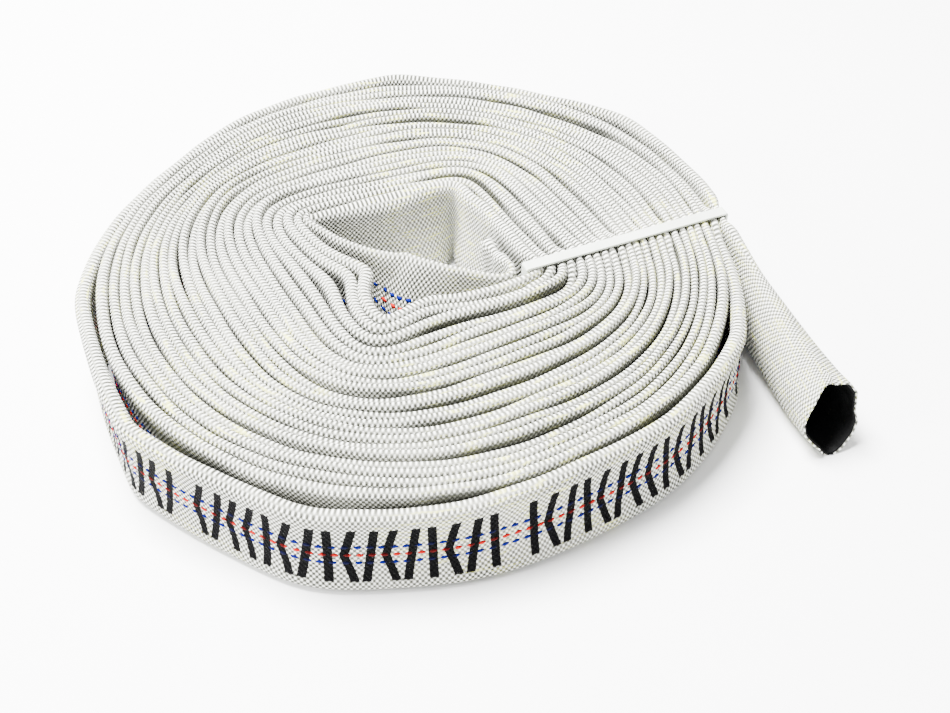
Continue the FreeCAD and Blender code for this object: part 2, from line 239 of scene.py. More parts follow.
def spiral_point(turn):
    """Point of the hose's middle line after so many turns, counted inward from the seam."""
    angle = SEAM_ANGLE + 360.0 * turn
    outwardness = 1.0 - turn / HOSE_TURNS
    roundness = CORE_SHARPNESS + (0.5 - CORE_SHARPNESS) * math.sin(math.pi * outwardness / 2.0)
    reach = 0.0
    for index, (core_angle, core_distance) in enumerate(CORE_SIDES):
        even_angle = CORE_SIDES[0][0] + 90.0 * index
        side_angle = core_angle + (even_angle - core_angle) * outwardness
        distance = core_distance + (OUTER_FRACTION - core_distance) * outwardness
        facing = math.cos(math.radians(angle - side_angle))
        if facing > 0.0:
            reach += (facing / distance) ** (1.0 / roundness)
    fraction = reach ** -roundness
    for centre, height, half_width in FLATS:
        fraction += height * outwardness ** 3 * bump(angle, centre, half_width)
    for centre, height, half_width, first, last in LOOSE_STRETCHES:
        loose = float(smoothstep(first, last, turn))
        fraction += height * loose * bump(angle, centre, half_width)
    fade = 1.0 / (1.0 + (turn / KINK_REACH) ** KINK_FADE)
    for centre, height, half_width in KINKS:
        fraction += height * fade * bump(angle, centre, half_width)
    for centre, height, half_width in SHARP_KINKS:
        sharp = math.exp(-abs(angle_between(angle, centre)) / half_width)
        fraction += height * fade * sharp
    radius = fraction * ROLL_RADIUS
    return (radius * math.cos(math.radians(angle)), radius * math.sin(math.radians(angle)),
            MIDDLE_HEIGHT)


def hose_points():
    """Control points of the whole hose, closer together where the bends are tighter."""
    points = list(FREE_ROUTE)
    turn = 0.0
    while turn < HOSE_TURNS:
        points.append(spiral_point(turn))
        spread = CORE_STEP + STEP_GROWTH * (1.0 - turn / HOSE_TURNS)
        turn += (KINKED_STEP if turn < KINK_REACH else spread) / 360.0
    return points + [(x, y, MIDDLE_HEIGHT) for x, y in CORE_ROUTE]


def smooth_line(points):
    """Points along the NURBS line that has these control points."""
    curve = bpy.data.curves.new("hose_line", "CURVE")
    curve.dimensions = "3D"
    curve.resolution_u = 12
    spline = curve.splines.new("NURBS")
    spline.points.add(len(points) - 1)
    for control, point in zip(spline.points, points):
        control.co = (*point, 1.0)
    spline.order_u = 3
    spline.use_endpoint_u = True
    holder = bpy.data.objects.new("hose_line", curve)
    bpy.context.scene.collection.objects.link(holder)
    bpy.context.view_layer.update()
    mesh = bpy.data.meshes.new_from_object(holder)
    line = np.array([vertex.co for vertex in mesh.vertices])
    bpy.data.objects.remove(holder)
    bpy.data.meshes.remove(mesh)
    return line


def arc_lengths(line):
    """Distance of each point from the first one, along the line."""
    return np.concatenate(([0.0], np.cumsum(np.linalg.norm(np.diff(line, axis=0), axis=1))))


def smoothstep(low, high, value):
    """Smooth rise from 0 at the low limit to 1 at the high one."""
    share = np.clip((value - low) / (high - low), 0.0, 1.0)
    return share * share * (3.0 - 2.0 * share)


def blurred(values, reach):
    """Running average with a bell-shaped weight over this many neighbours each way."""
    weights = np.exp(-0.5 * (np.arange(-2 * reach, 2 * reach + 1) / reach) ** 2)
    padded = np.pad(values, 2 * reach, mode="edge")
    return np.convolve(padded, weights / weights.sum(), mode="valid")


def wander(along, parts, seed):
    """Smooth irregular wave along the hose: parts are (wavelength, height)."""
    random = np.random.default_rng(seed)
    total = np.zeros_like(along)
    for wavelength, height in parts:
        phase, stretch = random.uniform(0.0, TAU), random.uniform(0.9, 1.1)
        total += height * np.sin(TAU * along / (wavelength * stretch) + phase)
    return total


def free_distance(places, normals, along):
    """How far each place is, along its normal, from the next run of hose beside it, up to
    FAR_ENOUGH. It works through the places in blocks, to save memory."""
    starts, edges = places[:-1], np.diff(places, axis=0)
    nearest = np.full(len(places), FAR_ENOUGH)
    for first in range(0, len(places), BLOCK):
        rows = slice(first, first + BLOCK)
        normal = normals[rows][:, None, :]
        gap = starts[None] - places[rows][:, None, :]
        cross = normal[..., 0] * edges[None, :, 1] - normal[..., 1] * edges[None, :, 0]
        cross = np.where(np.abs(cross) < TINY, TINY, cross)
        reach = (gap[..., 0] * edges[None, :, 1] - gap[..., 1] * edges[None, :, 0]) / cross
        share = (gap[..., 0] * normal[..., 1] - gap[..., 1] * normal[..., 0]) / cross
        apart = np.abs(along[rows][:, None] - along[None, :-1]) > SAME_RUN
        hit = (share >= 0.0) & (share <= 1.0) & (reach > 0.0) & apart
        reach = np.where(hit, reach, FAR_ENOUGH).min(axis=1)
        nearest[rows] = np.minimum(nearest[rows], reach)
    return nearest


def stations_along(line, along):
    """Distances along the line at which the skin gets a ring, closer where it bends more."""
    heading = np.gradient(line[:, :2], along, axis=0)
    heading /= np.linalg.norm(heading, axis=1)[:, None]
    turning = np.abs(np.gradient(np.unwrap(np.arctan2(heading[:, 1], heading[:, 0])), along))
    spacing = np.clip(STATION_TURNING / np.maximum(turning, 1.0), *STATION_SPACING)
    steps = np.concatenate(([0.0], np.cumsum(np.diff(along) / spacing[:-1])))
    stations = np.interp(np.arange(0.0, steps[-1]), steps, along)
    return np.append(stations, along[-1])


def nearest_station(places, stations, point):
    """Number of the station near the mouth that is closest to this point."""
    distance = np.hypot(places[:, 0] - point[0], places[:, 1] - point[1])
    return np.argmin(np.where(stations < NEAR_MOUTH, distance, 1.0))


def survey():
    """Everything that the skin needs, at stations along the hose from mouth to inner end."""
    line = smooth_line(hose_points())
    along = arc_lengths(line)
    stations = stations_along(line, along)
    hose = {"along": stations}
    for axis, name in enumerate("xyz"):
        hose[name] = np.interp(stations, along, line[:, axis])
    places = np.stack((hose["x"], hose["y"]), axis=1)
    heading = np.gradient(places, stations, axis=0)
    heading /= np.linalg.norm(heading, axis=1)[:, None]
    outward = np.stack((heading[:, 1], -heading[:, 0]), axis=1)
    hose["nx"], hose["ny"] = outward[:, 0], outward[:, 1]

    seam = nearest_station(places, stations, spiral_point(0.0))
    hose["from_seam"] = stations - stations[seam]
    wound = wound_length(line, along) - stations[seam]
    across_core = hose["from_seam"] - wound

    # Turns inward from the seam; the run across the core counts as one turn past the last.
    polar = np.unwrap(np.arctan2(places[:, 1], places[:, 0]))
    polar -= polar[seam] - math.radians(SEAM_ANGLE)
    turn = (np.degrees(polar) - SEAM_ANGLE) / 360.0
    turn = np.where(hose["from_seam"] <= wound, turn, HOSE_TURNS + 1.0)
    outer_gap = free_distance(places, outward, stations)
    inner_gap = free_distance(places, -outward, stations)
    hose["turn"] = turn
    hose["outer_half"] = half_thickness(outer_gap, turn)
    hose["inner_half"] = half_thickness(inner_gap, turn)
    hose["inner_half"] += WALL_SWELL * window(turn, *WALL_SWOLLEN)
    hose["slant"] = slant(turn, across_core)
    hose["crease"] = across_core - CREASE_PLACE
    press_at_tie(hose, places, outer_gap, inner_gap)
    hose["top"] -= FRONT_DIP * window(turn, *FRONT_DIPPED)
    crumple_end(hose)

    outside = -hose["from_seam"]
    hose["round_share"] = smoothstep(0.0, ROUND_AFTER, outside)
    distances, heights, widths = np.array(FREE_SECTIONS).T
    hose["half_height"] = blurred(np.interp(outside, distances, heights), 4)
    hose["half_width"] = blurred(np.interp(outside, distances, widths), 4)
    return hose


def slant(turn, across_core):
    """How far the lower edge lies inward of the upper one."""
    start, full, end = STRIP_SLANTED
    tipped = smoothstep(start, full, across_core) * (1.0 - smoothstep(full, end, across_core))
    low, high, fall, none = FRONT_FLARED
    flared = smoothstep(low, high, turn) * (1.0 - smoothstep(fall, none, turn))
    upright = 1.0 - CORNER_HOLD * np.exp(-((turn - CORNER_TURN) / CORNER_REACH) ** 2)
    leaning = WALL_SLANT * window(turn, *WALL_SLANTED) * upright
    return leaning - STRIP_SLANT * tipped - FRONT_FLARE * flared


def crumple_end(hose):
    """Swells, ridges and lowers the hose toward its inner end."""
    stations = hose["along"]
    crumpled = smoothstep(*CRUMPLED, stations - stations[-1])
    ridges = np.sin(TAU * stations / RIDGE_PITCH)
    for side in ("outer_half", "inner_half"):
        hose[side] += crumpled * (CRUMPLE_SWELL + CRUMPLE_RIDGE * ridges)
    hose["top"] -= crumpled * (CRUMPLE_DROP - CRUMPLE_DIP * ridges)


def wound_length(line, along):
    """Distance along the line to where the last turn ends and the run across the core starts."""
    end = np.array(spiral_point(HOSE_TURNS))
    late = np.where(along > 0.9 * along[-1], np.linalg.norm(line - end, axis=1), 1.0)
    return along[np.argmin(late)]


def window(value, low, high):
    """Smooth hump that is 0 outside the two limits and 1 half way between them."""
    share = np.clip((value - low) / (high - low), 0.0, 1.0)
    return np.sin(math.pi * share) ** 2


def half_thickness(gap, turn):
    """Half of the room to the neighbouring turn, up to the thickness of a folded edge: it
    opens up where nothing presses on it, and is thin across the core."""
    room = FILL_SHARE * gap
    loose = (turn < TIGHT_TURNS[0]) | (turn > TIGHT_TURNS[1])
    natural = FOLD_HALF + FOLD_SWELL * smoothstep(*SWELL_GAPS, gap) * loose
    natural = np.where(turn > HOSE_TURNS, STRIP_HALF, natural)
    return np.minimum(blurred(np.minimum(room, natural), 3), room)


def press_at_tie(hose, places, outer_gap, inner_gap):
    """Top and bottom of the hose, uneven from turn to turn and pressed in by the tie."""
    angle = math.radians(TIE_ANGLE)
    along_tie = (places - TIE_START) @ np.array((math.cos(angle), math.sin(angle)))
    beside_tie = np.abs((places - TIE_START) @ np.array((-math.sin(angle), math.cos(angle))))
    crossed = (along_tie > -TIE_MARGIN) & (along_tie < TIE_SPAN + TIE_MARGIN)
    pressed = np.where(crossed, 1.0 - smoothstep(*TIE_PRESSES, beside_tie), 0.0)
    along = hose["along"]
    uneven = sum(height * np.cos(math.pi * hose["turn"] / turns + phase)
                 for turns, height, phase in TURN_WAVES)
    top = TOP_EDGE + uneven + wander(along, TOP_WAVES, TOP_SEED)
    bottom = BOTTOM_EDGE + wander(along, BOTTOM_WAVES, BOTTOM_SEED)
    hose["top"] = top + (TOP_PRESSED - top) * pressed
    hose["bottom"] = bottom + (BOTTOM_PRESSED - bottom) * pressed
    for side, gap in (("outer_half", outer_gap), ("inner_half", inner_gap)):
        alone = pressed * (gap > LONE_GAP)
        hose[side] += (np.minimum(hose[side], LONE_HALF) - hose[side]) * alone
    hose["lean"] = wander(along, LEAN_WAVES, LEAN_SEED)


HOSE = survey()
SEAM_ALONG = float(HOSE["along"][0] - HOSE["from_seam"][0])
CORE_WALL = float(HOSE["from_seam"][np.argmax(HOSE["turn"] > HOSE_TURNS - WALL_TURNS)])


# ---------------------------------------------------------------- skin of the hose

def flat_section(here, rise, face, inset):
    """Offset and height on the flattened hose: thin between its two rounded folds, leaning,
    and creased across the core."""
    full = np.where(face > 0.0, here["outer_half"], here["inner_half"])
    swollen = np.maximum(full - FOLD_HALF, 0.0)
    middle = np.minimum(full, WAIST_HALF + WAIST_SHARE * swollen)
    edge_radius = FOLD_RADIUS + RADIUS_SHARE * swollen
    depth = np.minimum(rise, 1.0 - rise) * FLAT_WIDTH
    shoulder = 1.0 - (1.0 - np.minimum(depth / edge_radius, 1.0)) ** 2
    waist = smoothstep(0.0, WAIST_FADE, depth - edge_radius)
    offset = np.sqrt(np.clip(shoulder, 0.0, 1.0)) * (full + (middle - full) * waist)
    offset = face * np.maximum(offset - inset, 0.0) + here["lean"] * rise
    offset = offset - here["slant"] * (1.0 - rise)
    beside_crease = here["crease"] + CREASE_RUN * (1.0 - rise)
    offset = offset - CREASE_DEPTH * np.exp(-(beside_crease / CREASE_WIDTH) ** 2)
    low, high = here["bottom"] + inset, here["top"] - inset
    return offset, low + (high - low) * rise


def round_section(here, rise, face, inset):
    """Offset and height on the opened free end, which is an upright oval."""
    half_height = here["half_height"] - inset
    half_width = np.maximum(here["half_width"] - inset, LEAST_HALF_WIDTH)
    turn = math.pi * rise
    return face * half_width * np.sin(turn), here["half_height"] - half_height * np.cos(turn)


def skin(along, rise, face, inset=0.0):
    """Points on the skin. Along is the place on the line; rise goes from the lower folded
    edge at 0 to the upper one at 1; face is 1 on the outer side and -1 on the inner side."""
    here = {name: np.interp(along, HOSE["along"], values) for name, values in HOSE.items()}
    flat_offset, flat_height = flat_section(here, rise, face, inset)
    round_offset, round_height = round_section(here, rise, face, inset)
    share = here["round_share"]
    offset = flat_offset + (round_offset - flat_offset) * share
    height = flat_height + (round_height - flat_height) * share
    lobe, cut = mouth_shape(along, math.pi * rise * face, rise)
    offset = offset * (1.0 + lobe)
    height = MOUTH_HEIGHT + (height - MOUTH_HEIGHT) * (1.0 + lobe * share)
    x = here["x"] + here["nx"] * offset - cut * here["ny"]
    y = here["y"] + here["ny"] * offset + cut * here["nx"]
    return np.stack((x, y, np.maximum(height, FLOOR_GAP)), axis=-1)


def mouth_shape(along, round_angle, rise):
    """The cut mouth: how far its wavy rim bulges, and how far it is cut back toward the top."""
    near = np.clip(1.0 - along / RIM_FADE, 0.0, 1.0) ** 2
    lobe = sum(height * np.cos(number * round_angle + phase)
               for number, height, phase in RIM_LOBES)
    wave = sum(height * np.cos(number * round_angle + phase)
               for number, height, phase in RIM_WAVES)
    slope = np.clip(1.0 - along / CUT_FADE, 0.0, 1.0) ** 1.5
    return near * (lobe - RIM_SHRINK), near * wave + MOUTH_SLOPE * rise * slope


# Heights of a ring's points in millimetres up the flat width: on the seen outermost turn, up
# to its middle, and on the wound rest, where the upper fold is seen more than the lower one.
OUTER_RISES = (0.35, 1.3, 2.6, 4.2, 7.0, 12.0, 19.0, 26.0, 32.25)
INNER_LOW_RISES = (0.7, 3.2, 10.0)
INNER_HIGH_RISES = (25.0, 44.0, 56.0, 60.3, 61.9, 63.2, 64.15)


def around(low, high=None):
    """Rise and face of the points of one ring, from the lower edge up the outer side and
    down the inner side. Without the high part, the low part is mirrored."""
    width = FLAT_WIDTH * 1000.0
    if high is None:
        high = [width - height for height in reversed(low[:-1])]
    side = [height / width for height in (*low, *high)]
    rises = [0.0, *side, 1.0, *reversed(side)]
    faces = [0.0] + [1.0] * len(side) + [0.0] + [-1.0] * len(side)
    return np.array(rises), np.array(faces)


def weave_v(rises, faces):
    """Distance round the hose from its lower edge."""
    return np.where(faces < 0.0, 2.0 - rises, rises) * FLAT_WIDTH


def make_object(name, points, polygons, weave=None, smooth=True):
    """New mesh object; weave is the place on the cloth at each corner of each polygon."""
    mesh = bpy.data.meshes.new(name)
    mesh.from_pydata(points.tolist(), [], polygons)
    if weave is not None:
        layer = mesh.uv_layers.new(name=WEAVE_MAP)
        layer.data.foreach_set("uv", np.asarray(weave, dtype=np.float32).ravel())
    if smooth:
        mesh.shade_smooth()
    mesh.update()
    item = bpy.data.objects.new(name, mesh)
    bpy.context.scene.collection.objects.link(item)
    return item


def sleeve(name, rings, rises, faces, weave_u):
    """Closed skin through these rings, with a flat cap at each end."""
    count = len(rises)
    points = np.concatenate(rings)
    v = weave_v(rises, faces)
    v_next = np.append(v[1:], 2.0 * FLAT_WIDTH)
    polygons, weave = [], []
    for ring in range(len(rings) - 1):
        start = ring * count
        u, u_next = weave_u[ring], weave_u[ring + 1]
        for k in range(count):
            after = (k + 1) % count
            polygons.append((start + k, start + after, start + count + after, start + count + k))
            weave += ((u, v[k]), (u, v_next[k]), (u_next, v_next[k]), (u_next, v[k]))
    last = (len(rings) - 1) * count
    polygons.append(tuple(range(count))[::-1])
    polygons.append(tuple(range(last, last + count)))
    weave += [(weave_u[0], value) for value in v[::-1]] + [(weave_u[-1], value) for value in v]
    return make_object(name, points, polygons, weave)


def rings_at(places, rises, faces, inset=0.0):
    """One ring of skin points at each of these places along the line."""
    return [skin(np.full(len(rises), place), rises, faces, inset) for place in places]


def stations_between(first, last):
    """Both limits and the stations between them."""
    along = HOSE["along"]
    inside = along[(along > first + LEAST_STEP) & (along < last - LEAST_STEP)]
    return np.concatenate(([first], inside, [last]))


# ---------------------------------------------------------------- pieces

# Walls of jacket and lining, the gap between them, and how far each reaches into the mouth.
JACKET = 0.0011
LINING = 0.0010
WALL_GAP = 0.00005
MOUTH_DEPTH = 0.085
LINING_DEPTH = 0.081

# Rounded rim of the jacket: place along the line, and share of the wall; then where its inner
# and outer sides start; then the lining's rim and where its sides start.
RIM = ((0.0003, 0.85), (0.0, 0.5), (0.0003, 0.15))
RIM_INSIDE, RIM_OUTSIDE = 0.0012, 0.0008
LINING_RIM, LINING_START = 0.0010, 0.0016

# Least distance between two rings, and how near to its guessed place the tie's crossing is.
LEAST_STEP = 1e-4
CROSSING_REACH = 0.08


def tie_crossing(turn_guess):
    """Place on the line, near this many turns, that lies straight under the tie."""
    angle = math.radians(TIE_ANGLE)
    beside = ((HOSE["x"] - TIE_START[0]) * -math.sin(angle)
              + (HOSE["y"] - TIE_START[1]) * math.cos(angle))
    guess = SEAM_ALONG + turn_guess * TAU * ROLL_RADIUS * OUTER_FRACTION
    near = np.abs(HOSE["along"] - guess) < CROSSING_REACH
    return float(HOSE["along"][np.argmin(np.where(near, np.abs(beside), 1.0))])


def make_outer_turn(join):
    """Free end and outermost turn: the jacket folds in at the mouth and runs back inside.
    Also gives the place along the line of each point."""
    rises, faces = around(OUTER_RISES)
    inside = stations_between(RIM_INSIDE, MOUTH_DEPTH)[::-1]
    outside = stations_between(RIM_OUTSIDE, join)
    rings = rings_at(inside, rises, faces, JACKET)
    for place, share in RIM:
        rings += rings_at([place], rises, faces, JACKET * share)
    rings += rings_at(outside, rises, faces)
    places = np.array([*inside, *[0.0] * len(RIM), *outside])
    turn = sleeve("hose_outer_turn", rings, rises, faces, places - SEAM_ALONG)
    return turn, np.repeat(places, len(rises))


def make_wound(join):
    """The rest of the hose, from the join under the tie to its inner end."""
    rises, faces = around(INNER_LOW_RISES, INNER_HIGH_RISES)
    places = stations_between(join + LEAST_STEP, HOSE["along"][-1])
    rings = rings_at(places, rises, faces)
    return sleeve("hose_wound", rings, rises, faces, places - SEAM_ALONG)


def make_lining():
    """Rubber lining in the mouth, open toward it."""
    rises, faces = around(OUTER_RISES)
    inside = stations_between(LINING_START, LINING_DEPTH)
    rings = rings_at(inside[::-1], rises, faces, JACKET + WALL_GAP)
    rings += rings_at([LINING_RIM], rises, faces, JACKET + LINING * 0.5)
    rings += rings_at(inside, rises, faces, JACKET + LINING)
    return sleeve("hose_lining", rings, rises, faces, [*inside[::-1], 0.0, *inside])


def stitch_points(centre, middle, slant_up):
    """Points of one stitch as (place, rise, lift): a tip, three four-cornered sections, and
    the other tip."""
    points = []
    for share, swell in ((-0.5, 0.0), *STITCH_PROFILE, (0.5, 0.0)):
        place = centre + share * STITCH_LENGTH
        rise = middle + share * 2.0 * slant_up / FLAT_WIDTH
        spread = swell * STITCH_WIDTH / 2.0 / FLAT_WIDTH
        if swell:
            points += [(place, rise - spread, STITCH_EDGE), (place, rise, swell),
                       (place, rise + spread, STITCH_EDGE), (place, rise, STITCH_ROOT)]
        else:
            points.append((place, rise, 0.0))
    return points


def stitch_faces():
    """Faces of one closed stitch, by the numbers of its points."""
    faces = []
    for k in range(4):
        after = (k + 1) % 4
        faces.append((0, 1 + after, 1 + k))
        faces += [(1 + 4 * row + k, 1 + 4 * row + after, 5 + 4 * row + after, 5 + 4 * row + k)
                  for row in range(2)]
        faces.append((9 + k, 9 + after, 13))
    return faces


def make_stitches(name, steps_up):
    """Short raised stitches of coloured yarn in a row along the outer face. Also gives the
    place along the line of each point."""
    first, last = STITCH_MARGIN, HOSE["along"][-1] - STITCH_MARGIN
    centres = np.arange(first, last, STITCH_PITCH)
    centres = centres + STITCH_STAGGER * (steps_up == 0)
    random = np.random.default_rng(STITCH_SEED + steps_up)
    centres = centres + random.normal(0.0, STITCH_SCATTER, len(centres))
    middle = 0.5 + steps_up * STITCH_SPACING / FLAT_WIDTH
    points, polygons, faces = [], [], stitch_faces()
    for centre in centres:
        start = len(points)
        points += stitch_points(centre, middle, random.normal(*STITCH_SLANT))
        polygons += [tuple(start + index for index in face) for face in faces]
    place, rise, lift = np.array(points).T
    surface = skin(place, rise, np.ones(len(place)))
    surface[:, 0] += np.interp(place, HOSE["along"], HOSE["nx"]) * lift * STITCH_LIFT
    surface[:, 1] += np.interp(place, HOSE["along"], HOSE["ny"]) * lift * STITCH_LIFT
    corners = np.concatenate(polygons)
    weave = np.stack((place[corners] - SEAM_ALONG, rise[corners] * FLAT_WIDTH), axis=1)
    return make_object(name, surface, polygons, weave), place


# ---------------------------------------------------------------- materials

class Nodes:
    """Small helper that adds nodes and links to one material."""

    def __init__(self, name):
        self.material = bpy.data.materials.new(name)
        self.material.use_nodes = True
        self.tree = self.material.node_tree
        self.shader = self.tree.nodes["Principled BSDF"]

    def put(self, socket, value):
        if isinstance(value, bpy.types.NodeSocket):
            self.tree.links.new(value, socket)
        else:
            socket.default_value = value

    def node(self, kind, output=0, **inputs):
        item = self.tree.nodes.new(kind)
        for name, value in inputs.items():
            self.put(item.inputs[name.replace("_", " ")], value)
        return item.outputs[output]

    def math(self, operation, *values):
        """Result of one operation on numbers or sockets."""
        item = self.tree.nodes.new("ShaderNodeMath")
        item.operation = operation
        for socket, value in zip(item.inputs, values):
            self.put(socket, value)
        return item.outputs[0]

    def fade(self, value, low, high, to_low=0.0, to_high=1.0):
        """Smooth change from to_low to to_high while the value goes from low to high."""
        item = self.tree.nodes.new("ShaderNodeMapRange")
        item.interpolation_type = "SMOOTHSTEP"
        for socket, number in zip(item.inputs, (value, low, high, to_low, to_high)):
            self.put(socket, number)
        return item.outputs[0]

    def mix(self, share, first, second):
        item = self.tree.nodes.new("ShaderNodeMix")
        item.data_type = "RGBA"
        self.put(item.inputs["Factor"], share)
        self.put(item.inputs[6], first)
        self.put(item.inputs[7], second)
        return item.outputs[2]

    def noise(self, vector, scale, detail=3.0):
        item = self.tree.nodes.new("ShaderNodeTexNoise")
        self.put(item.inputs["Vector"], vector)
        self.put(item.inputs["Scale"], scale)
        self.put(item.inputs["Detail"], detail)
        return item.outputs["Fac"]

    def bumped(self, height, distance, strength=1.0, normal=None):
        item = self.tree.nodes.new("ShaderNodeBump")
        self.put(item.inputs["Height"], height)
        item.inputs["Distance"].default_value = distance
        item.inputs["Strength"].default_value = strength
        if normal is not None:
            self.put(item.inputs["Normal"], normal)
        return item.outputs[0]

    def weave_place(self):
        """Place on the cloth: distance along the hose, and distance round it, in metres."""
        item = self.tree.nodes.new("ShaderNodeUVMap")
        item.uv_map = WEAVE_MAP
        split = self.tree.nodes.new("ShaderNodeSeparateXYZ")
        self.tree.links.new(item.outputs[0], split.inputs[0])
        return item.outputs[0], split.outputs[0], split.outputs[1]

    def object_place(self):
        return self.node("ShaderNodeTexCoord", "Object")


# Printed marks: numbers of the first and last stroke of each group, the pitch of the strokes
# and half their height. MARK_EDGE is where a stroke ends, as a share of that half height. The
# rest are shares of the pitch: half a stroke's width, and where its middle lies in its cell,
# which shifts with the height in a chevron and in a slash.
MARK_GROUPS = ((63, 72), (74, 89), (91, 105), (107, 115))
MARK_PITCH = 0.0112
MARK_HALF_HEIGHT = 0.0222
MARK_EDGE = (0.97, 1.03)
STROKE_HALF = (0.205, 0.245)
CHEVRON_TIP, CHEVRON_ARM = 0.24, 0.46
SLASH_MIDDLE, SLASH_TILT = 0.5, 0.26

# A stroke's kind comes from the fractional part of its number times KIND_STEP: a chevron, a
# slash above the first limit and an upright bar above the second.
KIND_STEP = 0.3819
KIND_LIMITS = (0.45, 0.75)

# Colours.
INK = (0.0022, 0.0022, 0.0024, 1.0)
# The weave's gap and side tones are painted shade in the hollows between its knuckles; its crown
# is the cloth's own white.
WEAVE_GAP_SHADE = (0.055, 0.056, 0.047, 1.0)
WEAVE_SIDE_SHADE = (0.29, 0.295, 0.255, 1.0)
WEAVE_CROWN = (0.92, 0.925, 0.875, 1.0)
CREAM = (0.70, 0.70, 0.60, 1.0)
YELLOW = (0.74, 0.76, 0.22, 1.0)
# Painted shade for the grooves between the wound turns.
GROOVE_SHADE = (0.035, 0.036, 0.030, 1.0)
GRIME = (0.30, 0.27, 0.16, 1.0)
RUBBER = ((0.0010, 0.0010, 0.0010, 1.0), (0.0035, 0.0035, 0.0037, 1.0))
NYLON = ((0.50, 0.54, 0.47, 1.0), (0.74, 0.77, 0.71, 1.0))
BLUE = ((0.001, 0.002, 0.05, 1.0), (0.002, 0.006, 0.17, 1.0))
RED = ((0.22, 0.001, 0.001, 1.0), (0.52, 0.004, 0.004, 1.0))
FLOOR_GREY = (0.93, 0.93, 0.93, 1.0)

# Painted shade in the grooves between neighbouring turns: distance from the seam at which it
# starts (it ends at the wall of the core), and the distances from the middle of the upper fold at
# which it fades in.
GROOVE_SHADE_START = 1.42
GROOVE_SHADE_DEPTHS = (0.0012, 0.0040)


def ink_share(nodes, u, v):
    """Black generic marks, bars, slashes and chevrons, on the outer face of some stretches."""
    up = nodes.math("DIVIDE", nodes.math("SUBTRACT", v, MIDDLE_HEIGHT), MARK_HALF_HEIGHT)
    height = nodes.math("ABSOLUTE", up)
    inside = nodes.fade(height, *MARK_EDGE, 1.0, 0.0)
    cell = nodes.math("DIVIDE", u, MARK_PITCH)
    number = nodes.math("FLOOR", cell)
    place = nodes.math("FRACT", cell)
    chevron = nodes.math("ADD", CHEVRON_TIP, nodes.math("MULTIPLY", height, CHEVRON_ARM))
    slash = nodes.math("ADD", SLASH_MIDDLE, nodes.math("MULTIPLY", up, SLASH_TILT))
    kind = nodes.math("FRACT", nodes.math("MULTIPLY", number, KIND_STEP))
    centre = chevron
    for limit, other in zip(KIND_LIMITS, (slash, 0.5)):
        chosen = nodes.math("GREATER_THAN", kind, limit)
        shift = nodes.math("SUBTRACT", other, centre)
        centre = nodes.math("ADD", centre, nodes.math("MULTIPLY", chosen, shift))
    stroke = nodes.math("ABSOLUTE", nodes.math("SUBTRACT", place, centre))
    stroke = nodes.fade(stroke, *STROKE_HALF, 1.0, 0.0)
    group = 0.0
    for first, last in MARK_GROUPS:
        within = nodes.math("MULTIPLY", nodes.math("GREATER_THAN", number, first - 0.5),
                            nodes.math("LESS_THAN", number, last + 0.5))
        group = nodes.math("ADD", group, within)
    return nodes.math("MULTIPLY", nodes.math("MULTIPLY", stroke, inside), group)


def cloth_colour(nodes, weave, place, across):
    """Clean white cloth whose weave has painted shade in its gaps and on the sides of its
    knuckles, with cream clouds and yellowish streaks.
    """
    # Painted shade: dark in the weave's gaps and grey on the sides of its knuckles, with the
    # cloth's own white on their crowns.
    out_of_gap_shade = nodes.fade(weave, -0.60, 0.15)
    crown = nodes.fade(weave, 0.0, 0.55)
    colour = nodes.mix(out_of_gap_shade, WEAVE_GAP_SHADE, WEAVE_SIDE_SHADE)
    colour = nodes.mix(crown, colour, WEAVE_CROWN)
    cloud = nodes.fade(nodes.noise(across, 14.0, 4.0), 0.40, 0.68)
    colour = nodes.mix(nodes.math("MULTIPLY", cloud, 0.16), colour, CREAM)
    stretched = nodes.node("ShaderNodeMapping", Vector=place, Scale=(60.0, 900.0, 1.0))
    streak = nodes.fade(nodes.noise(stretched, 1.0, 2.0), 0.55, 0.66)
    patch = nodes.fade(nodes.noise(across, 11.0, 1.0), 0.46, 0.60)
    streak = nodes.math("MULTIPLY", nodes.math("MULTIPLY", streak, patch), 0.72)
    return nodes.mix(streak, colour, YELLOW)


def groove_shade_and_grime(nodes, colour, u, v, across):
    """Painted shade in the grooves between the wound turns, and spots of grime."""
    # Painted shade between the wound turns, fading in with depth below the upper fold.
    depth = nodes.math("ABSOLUTE", nodes.math("SUBTRACT", v, FLAT_WIDTH))
    groove_shade = nodes.math("MULTIPLY", nodes.fade(depth, *GROOVE_SHADE_DEPTHS),
                        nodes.math("LESS_THAN", u, CORE_WALL))
    groove_shade = nodes.math("MULTIPLY", groove_shade, nodes.math("GREATER_THAN", u, GROOVE_SHADE_START))
    strength = nodes.fade(nodes.noise(across, 9.0, 2.0), 0.40, 0.60, 0.25, 0.9)
    colour = nodes.mix(nodes.math("MULTIPLY", groove_shade, strength), colour, GROOVE_SHADE)
    spots = nodes.fade(nodes.noise(across, 260.0, 2.0), 0.74, 0.80)
    return nodes.mix(nodes.math("MULTIPLY", spots, 0.35), colour, GRIME)


